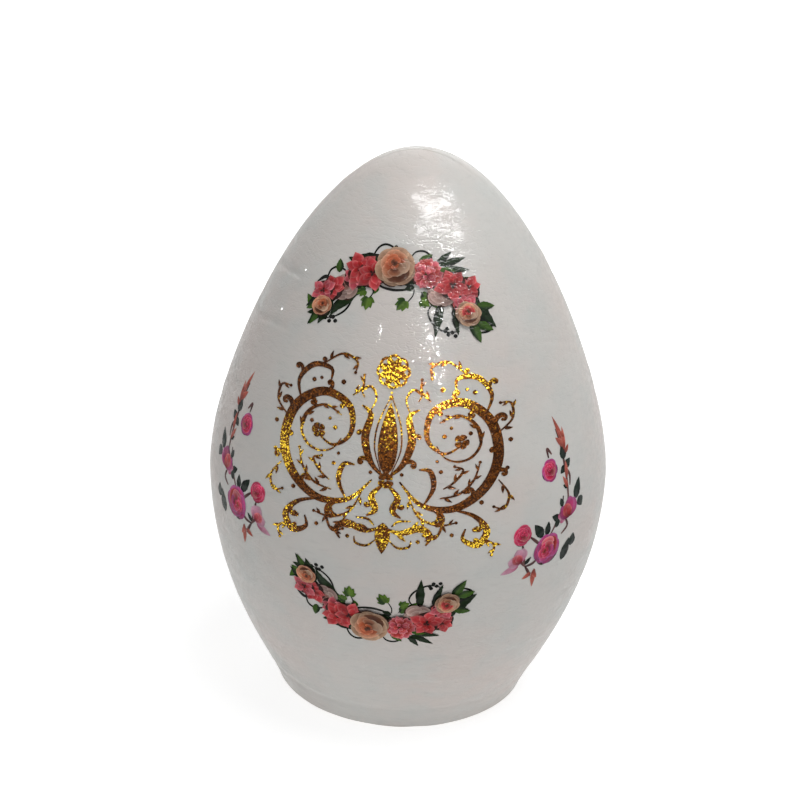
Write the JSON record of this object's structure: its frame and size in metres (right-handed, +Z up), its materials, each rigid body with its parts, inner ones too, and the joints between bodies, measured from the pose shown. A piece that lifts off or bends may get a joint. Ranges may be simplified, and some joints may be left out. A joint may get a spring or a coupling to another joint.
{
  "type": "decorative egg on foot ring",
  "caption": "Hollow cast egg glued on a low foot ring, skinned with white tissue and carrying flower garlands, rose sprays and gold foil scrollwork on its front.",
  "frame": {"origin": "centre of the foot's underside, on the surface it stands on", "axes": "+Z up along the egg's axis, -Y out of the decorated front, +X to the right as seen from the front"},
  "size_m": [0.1, 0.1006, 0.1415],
  "materials": {
    "clay": "unglazed fired clay",
    "glue": "dried amber adhesive",
    "tissue": "white tissue under satin varnish, finely crinkled",
    "garland_print": "full colour print under satin varnish",
    "spray_print": "full colour print under satin varnish",
    "gold_foil": "glittering gold foil under satin varnish"
  },
  "bodies": {
    "root": {"egg_shell": "clay", "foot_ring": "clay", "glue_bead": "glue", "front_tissue": "tissue", "back_tissue": "tissue", "top_garland": "garland_print", "bottom_garland": "garland_print", "left_spray": "spray_print", "right_spray": "spray_print", "gold_left_scroll": "gold_foil", "gold_right_scroll": "gold_foil", "gold_palmette": "gold_foil", "gold_rosette": "gold_foil", "gold_pendant": "gold_foil"}
  },
  "joints": []
}
